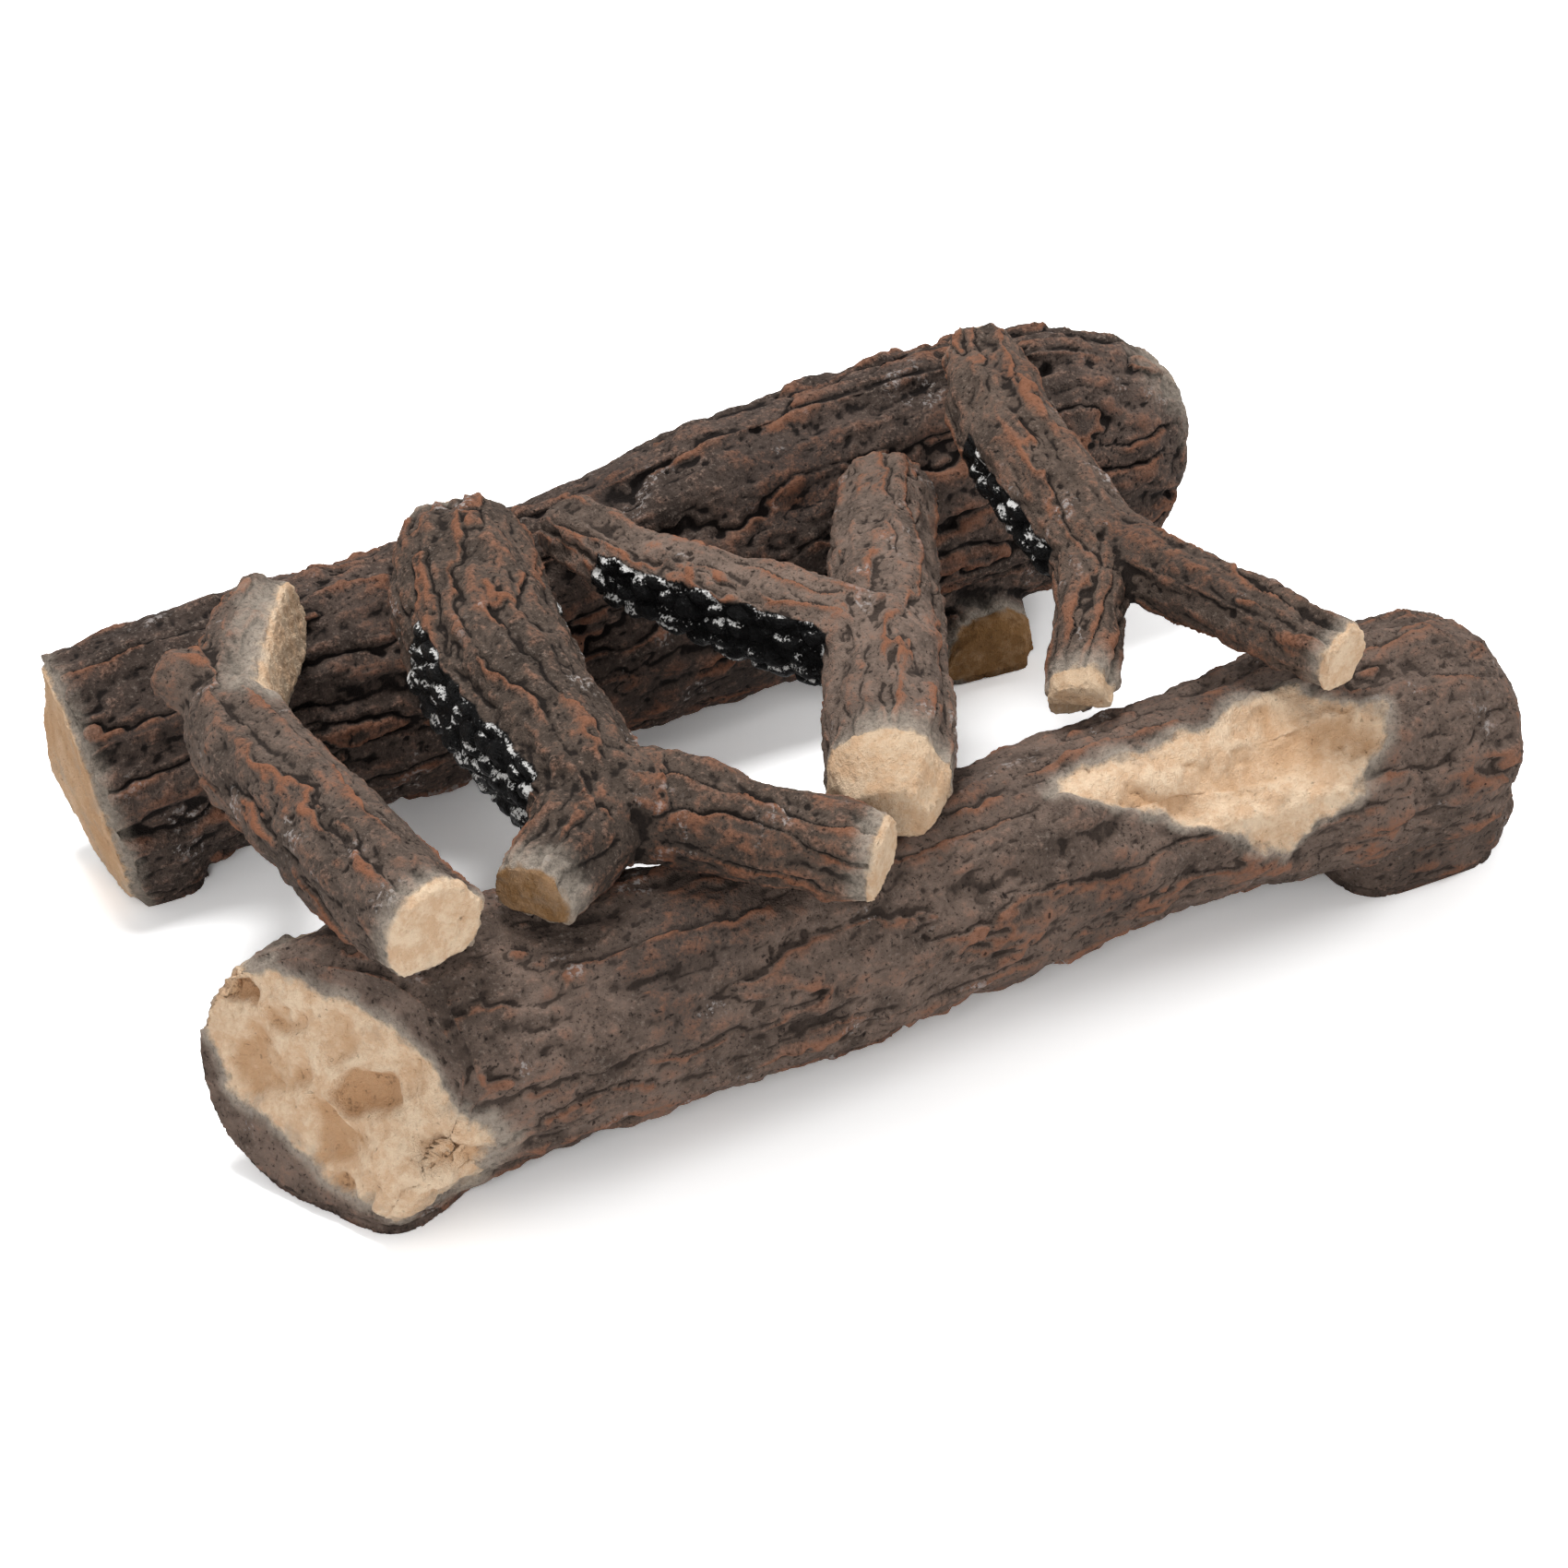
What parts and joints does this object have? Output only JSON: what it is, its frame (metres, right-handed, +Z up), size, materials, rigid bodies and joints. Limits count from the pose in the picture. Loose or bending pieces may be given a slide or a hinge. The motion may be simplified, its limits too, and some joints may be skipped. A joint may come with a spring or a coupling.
{
  "type": "gas log set",
  "caption": "Cast log set for a gas fireplace: two footed base logs side by side, bridged by a bent branch and forked branches that lift off.",
  "frame": {"origin": "on the hearth, under the middle of the whole set's box", "axes": "+X along the base logs to the right, +Y from the front log to the rear log, +Z up"},
  "size_m": [0.5238, 0.3214, 0.1568],
  "materials": {
    "rear_log_casting": "matt cast bark with rust-brown ridges, tan bare wood at cuts and peeled patches",
    "front_log_casting": "matt cast bark with rust-brown ridges, tan bare wood at cuts and peeled patches",
    "bent_log_casting": "matt cast bark with rust-brown ridges, tan bare wood at cuts and peeled patches",
    "left_forked_log_casting": "matt cast bark with rust-brown ridges, tan bare wood at cuts and peeled patches, and black glossy char",
    "middle_forked_log_casting": "matt cast bark with rust-brown ridges, tan bare wood at cuts and peeled patches, and black glossy char",
    "right_forked_log_casting": "matt cast bark with rust-brown ridges, tan bare wood at cuts and peeled patches, and black glossy char"
  },
  "bodies": {
    "rear_log": {"rear_log": "rear_log_casting"},
    "front_log": {"front_log": "front_log_casting"},
    "bent_log": {"bent_log": "bent_log_casting"},
    "left_forked_log": {"left_forked_log": "left_forked_log_casting"},
    "middle_forked_log": {"middle_forked_log": "middle_forked_log_casting"},
    "right_forked_log": {"right_forked_log": "right_forked_log_casting"}
  },
  "joints": [
    {"name": "front_log_slide", "type": "slide", "parent": "rear_log", "child": "front_log", "axis": [0, -1, 0], "range_m": [0, 0.02]},
    {"name": "bent_log_lift", "type": "slide", "parent": "rear_log", "child": "bent_log", "axis": [0, 0, 1], "range_m": [0, 0.2]},
    {"name": "left_forked_log_lift", "type": "slide", "parent": "rear_log", "child": "left_forked_log", "axis": [0, 0, 1], "range_m": [0, 0.2]},
    {"name": "middle_forked_log_lift", "type": "slide", "parent": "rear_log", "child": "middle_forked_log", "axis": [0, 0, 1], "range_m": [0, 0.2]},
    {"name": "right_forked_log_lift", "type": "slide", "parent": "rear_log", "child": "right_forked_log", "axis": [0, 0, 1], "range_m": [0, 0.2]}
  ]
}
